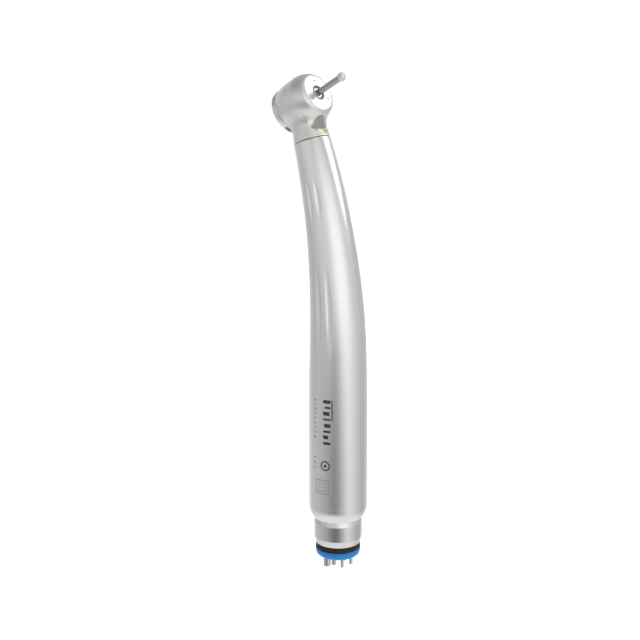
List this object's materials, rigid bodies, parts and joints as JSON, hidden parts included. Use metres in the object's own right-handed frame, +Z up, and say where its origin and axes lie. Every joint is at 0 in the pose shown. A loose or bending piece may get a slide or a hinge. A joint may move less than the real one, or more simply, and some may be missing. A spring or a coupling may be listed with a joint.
{
  "type": "dental high speed handpiece",
  "caption": "Slim bent turbine handpiece with a round push-button head, chucked bur, LED window in the neck, grip flutes and a multi-port rear coupling.",
  "frame": {"origin": "on the straight rear axis of the handle, in the plane of the coupling's rear face", "axes": "+Z up along the straight rear part of the handle; the neck leans towards -X and the bur points towards +X and up; XZ is the plane of symmetry of the shell and head"},
  "size_m": [0.0275, 0.0156, 0.1301],
  "materials": {
    "satin_chrome": "satin",
    "button_steel": "satin",
    "polished_steel": "polished",
    "bearing_steel": "polished",
    "cage_polymer": "matt",
    "spring_steel": "satin",
    "bur_steel": "ground",
    "impeller_aluminium": "machined",
    "rubber": "matt",
    "blue_plastic": "glossy",
    "lens_glass": "clear",
    "led_phosphor": "matt",
    "copper": "enamelled copper wire",
    "wire_red": "matt",
    "magnet": "nickel plated",
    "tube_steel": "drawn",
    "board": "matt",
    "chip_black": "matt",
    "brass": "machined"
  },
  "bodies": {
    "handpiece": {"head_housing": "satin_chrome", "back_cap": "satin_chrome", "button_spring": "spring_steel", "button_retaining_ring": "spring_steel", "spring_washer": "spring_steel", "front_bearing_outer_race": "bearing_steel", "rear_bearing_outer_race": "bearing_steel", "front_o_ring": "rubber", "rear_o_ring": "rubber", "front_dust_cover": "spring_steel", "led_lens": "lens_glass", "led_chip": "led_phosphor", "led_holder": "cage_polymer", "led_wires": "wire_red", "handle_shell": "satin_chrome", "neck_seal": "rubber", "drive_air_tube": "tube_steel", "water_tube": "tube_steel", "chip_air_tube": "tube_steel", "tube_bracket": "cage_polymer", "rectifier_board": "board", "board_components": "chip_black", "generator_housing": "cage_polymer", "generator_end_plate": "cage_polymer", "generator_coil": "copper", "generator_lower_bearing": "bearing_steel", "generator_upper_bearing": "bearing_steel", "rear_collar": "polished_steel", "collar_o_ring": "rubber", "rear_core": "impeller_aluminium", "sealing_ring": "rubber", "blue_ring": "blue_plastic", "exhaust_pipe": "polished_steel", "drive_air_pipe": "polished_steel", "water_pipe": "polished_steel", "chip_air_pipe": "polished_steel", "locating_pin": "polished_steel", "check_valve_seat": "brass", "check_valve_spring": "spring_steel", "check_valve_cap": "brass"},
    "rotor": {"rotor_spindle": "polished_steel", "impeller": "impeller_aluminium", "collet_chuck": "polished_steel", "front_bearing_inner_race": "bearing_steel", "rear_bearing_inner_race": "bearing_steel"},
    "front_cage": {"front_bearing_balls": "bearing_steel", "front_bearing_cage": "cage_polymer"},
    "rear_cage": {"rear_bearing_balls": "bearing_steel", "rear_bearing_cage": "cage_polymer"},
    "button": {"push_button": "button_steel"},
    "pusher": {"chuck_pusher": "polished_steel"},
    "bur": {"bur": "bur_steel"},
    "generator_rotor": {"generator_magnet": "magnet", "generator_shaft": "polished_steel", "generator_impeller": "impeller_aluminium"},
    "valve_ball": {"check_valve_ball": "bearing_steel"}
  },
  "joints": [
    {"name": "rotor_spin", "type": "hinge", "parent": "handpiece", "child": "rotor", "pos_m": [-0.01119, 0, 0.12007], "axis": [0.9078, 0, 0.4195], "continuous": true},
    {"name": "front_cage_spin", "type": "hinge", "parent": "handpiece", "child": "front_cage", "pos_m": [-0.00847, 0, 0.12132], "axis": [0.9078, 0, 0.4195], "continuous": true},
    {"name": "rear_cage_spin", "type": "hinge", "parent": "handpiece", "child": "rear_cage", "pos_m": [-0.01392, 0, 0.11881], "axis": [0.9078, 0, 0.4195], "continuous": true},
    {"name": "button_press", "type": "slide", "parent": "handpiece", "child": "button", "axis": [0.9078, 0, 0.4195], "range_m": [0, 0.0007], "stiffness_N_per_m": 200, "springref_m": -0.0005, "deforming": ["button_spring"]},
    {"name": "pusher_push", "type": "slide", "parent": "rotor", "child": "pusher", "axis": [0.9078, 0, 0.4195], "range_m": [0, 0.00055]},
    {"name": "bur_pull_out", "type": "slide", "parent": "rotor", "child": "bur", "axis": [0.9078, 0, 0.4195], "range_m": [0, 0.0105]},
    {"name": "generator_spin", "type": "hinge", "parent": "handpiece", "child": "generator_rotor", "pos_m": [0, 0, 0.036], "axis": [0, 0, 1], "continuous": true},
    {"name": "valve_lift", "type": "slide", "parent": "handpiece", "child": "valve_ball", "axis": [0, 0, 1], "range_m": [0, 0.0006], "stiffness_N_per_m": 20, "springref_m": -0.0005, "deforming": ["check_valve_spring"]}
  ],
  "couplings": [
    {"joint": "front_cage_spin", "follows": "rotor_spin", "ratio": 0.3913},
    {"joint": "rear_cage_spin", "follows": "rotor_spin", "ratio": 0.3913},
    {"joint": "pusher_push", "follows": "button_press", "ratio": 0.7857}
  ]
}
